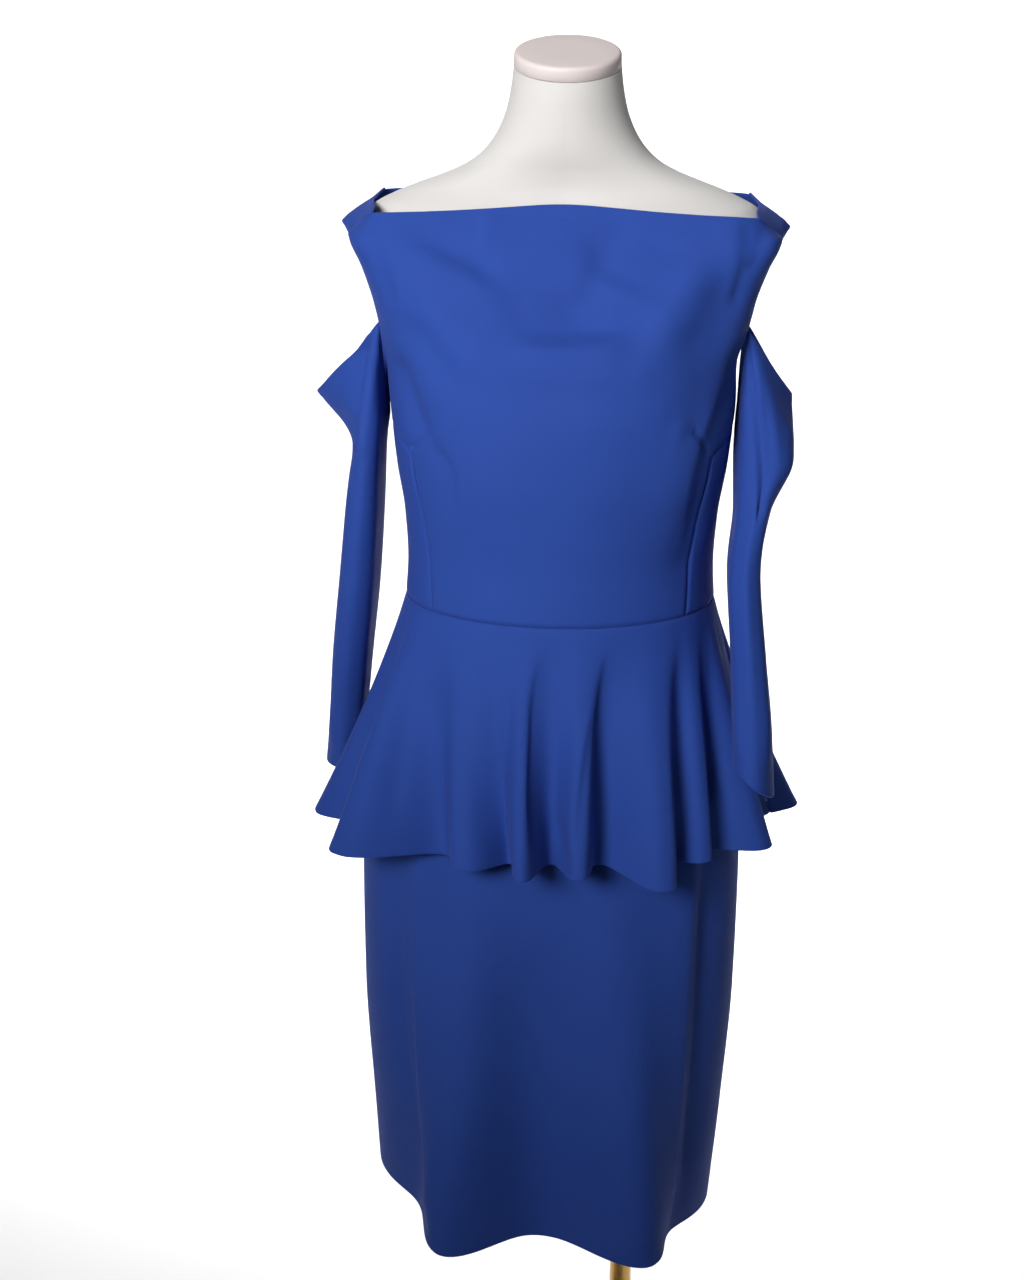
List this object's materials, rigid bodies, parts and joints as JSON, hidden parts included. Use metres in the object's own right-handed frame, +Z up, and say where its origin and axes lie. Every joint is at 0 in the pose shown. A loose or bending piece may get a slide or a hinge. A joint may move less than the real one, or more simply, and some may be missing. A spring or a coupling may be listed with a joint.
{
  "type": "off-shoulder peplum dress on a limbless dress form with a stand",
  "caption": "Fitted dress with a wide straight neckline, cut-out shoulders, long hanging sleeves, a flared wavy peplum and a knee-length skirt, worn by a dress form on a pole stand.",
  "frame": {"origin": "centre of the underside of the round base plate", "axes": "+Z up; the dress faces -Y; +X is the side at the viewer's right when the dress is seen from the front"},
  "size_m": [0.482, 0.4108, 1.5396],
  "materials": {
    "dress_cloth": "matte",
    "form_cover": "matte",
    "form_cap": "matte",
    "stand_brass": "satin"
  },
  "bodies": {
    "root": {"bodice_front": "dress_cloth", "bodice_side_left": "dress_cloth", "bodice_side_right": "dress_cloth", "bodice_back_left": "dress_cloth", "bodice_back_right": "dress_cloth", "sleeve_left": "dress_cloth", "sleeve_right": "dress_cloth", "peplum_front": "dress_cloth", "peplum_back": "dress_cloth", "skirt_front": "dress_cloth", "skirt_back": "dress_cloth", "form_torso": "form_cover", "form_neck_cap": "form_cap", "stand_socket": "stand_brass", "stand_pole": "stand_brass", "stand_flange": "stand_brass", "stand_base": "stand_brass"}
  },
  "joints": []
}
